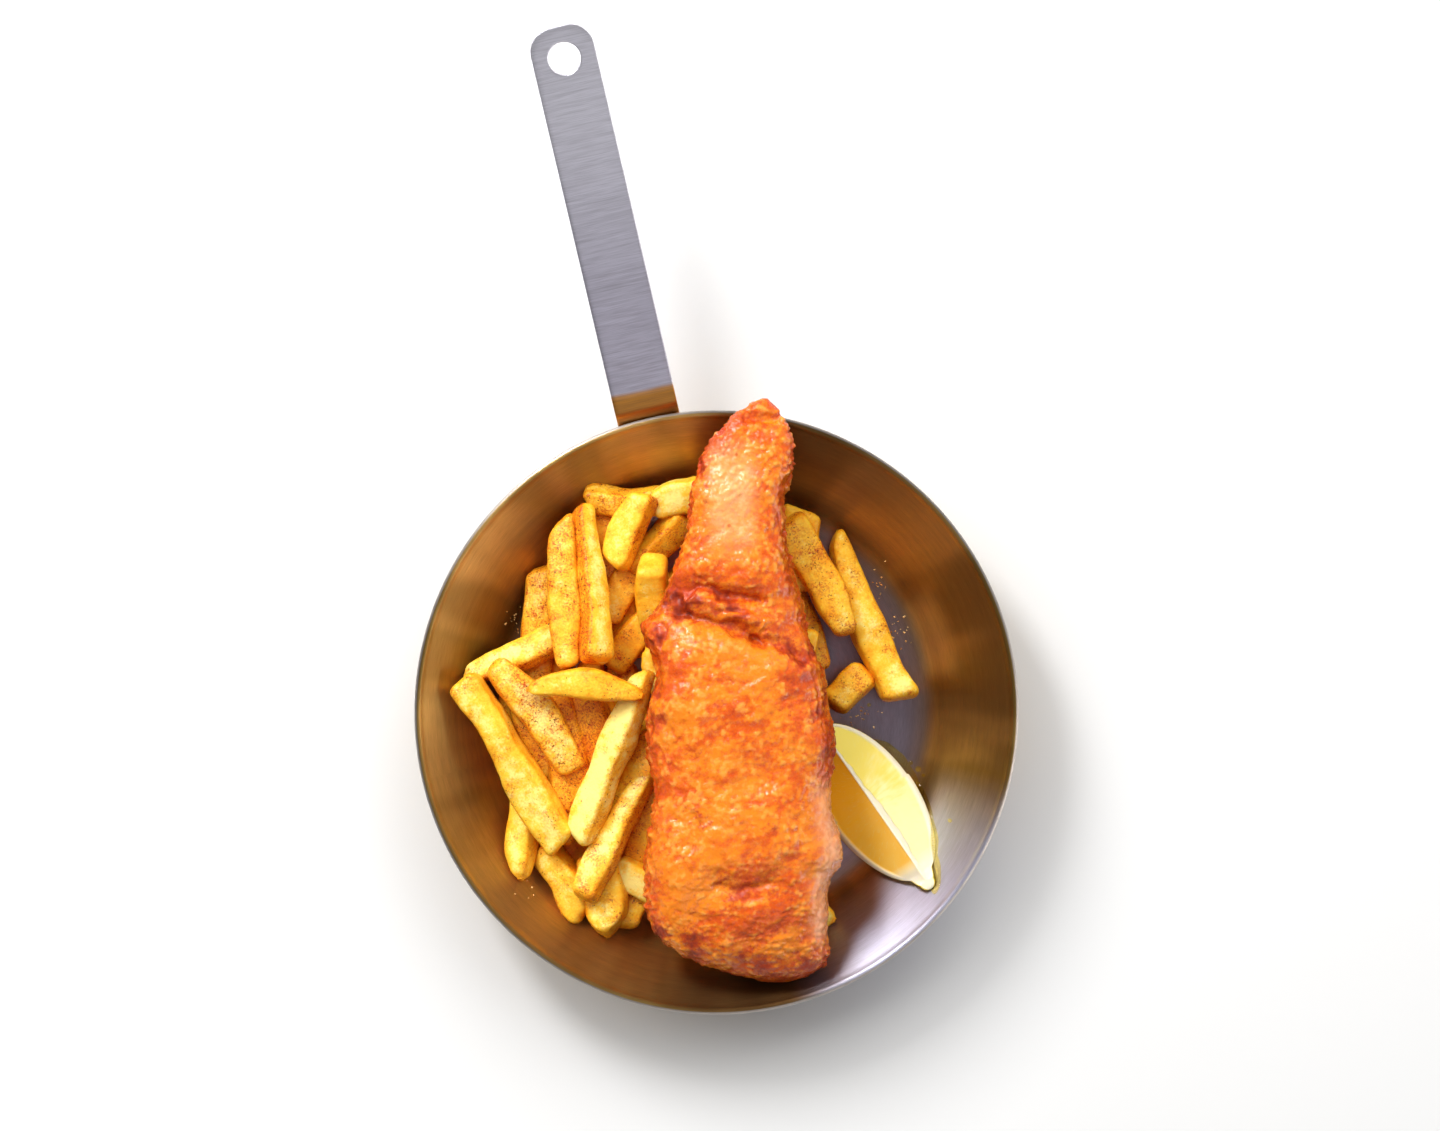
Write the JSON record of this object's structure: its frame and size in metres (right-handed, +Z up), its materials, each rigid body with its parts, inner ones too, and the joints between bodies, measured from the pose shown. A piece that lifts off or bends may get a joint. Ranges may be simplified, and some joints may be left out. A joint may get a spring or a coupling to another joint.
{
  "type": "fish and chips",
  "caption": "Battered fish fillet laid over a heap of thick-cut potato chips with a lemon wedge, served in a shallow round steel pan with a flat strip handle.",
  "frame": {"origin": "centre of the pan's flat underside, on the surface it stands on", "axes": "+Z up out of the pan; +Y from the pan's centre towards the handle's tip; +X to the right seen from above with the handle pointing away"},
  "size_m": [0.2394, 0.3921, 0.0857],
  "materials": {
    "pan_steel": "heat-tinted brushed steel, golden brown on the wall and blue-grey on the floor",
    "handle_steel": "brushed across the strip, heat-tinted next to the rim",
    "fried_potato": "fried, dusted with red spice",
    "fried_batter": "crisp fried batter with small oily highlights",
    "lemon": "wet cut flesh, white pith and yellow peel"
  },
  "bodies": {
    "root": {"pan_body": "pan_steel", "pan_handle": "handle_steel", "chips_heap": "fried_potato", "chip_right_long": "fried_potato", "chip_right_leaning": "fried_potato", "chip_right_tucked": "fried_potato", "chip_right_stub": "fried_potato", "chip_near_tip": "fried_potato", "battered_fish": "fried_batter", "lemon_wedge": "lemon"}
  },
  "joints": []
}
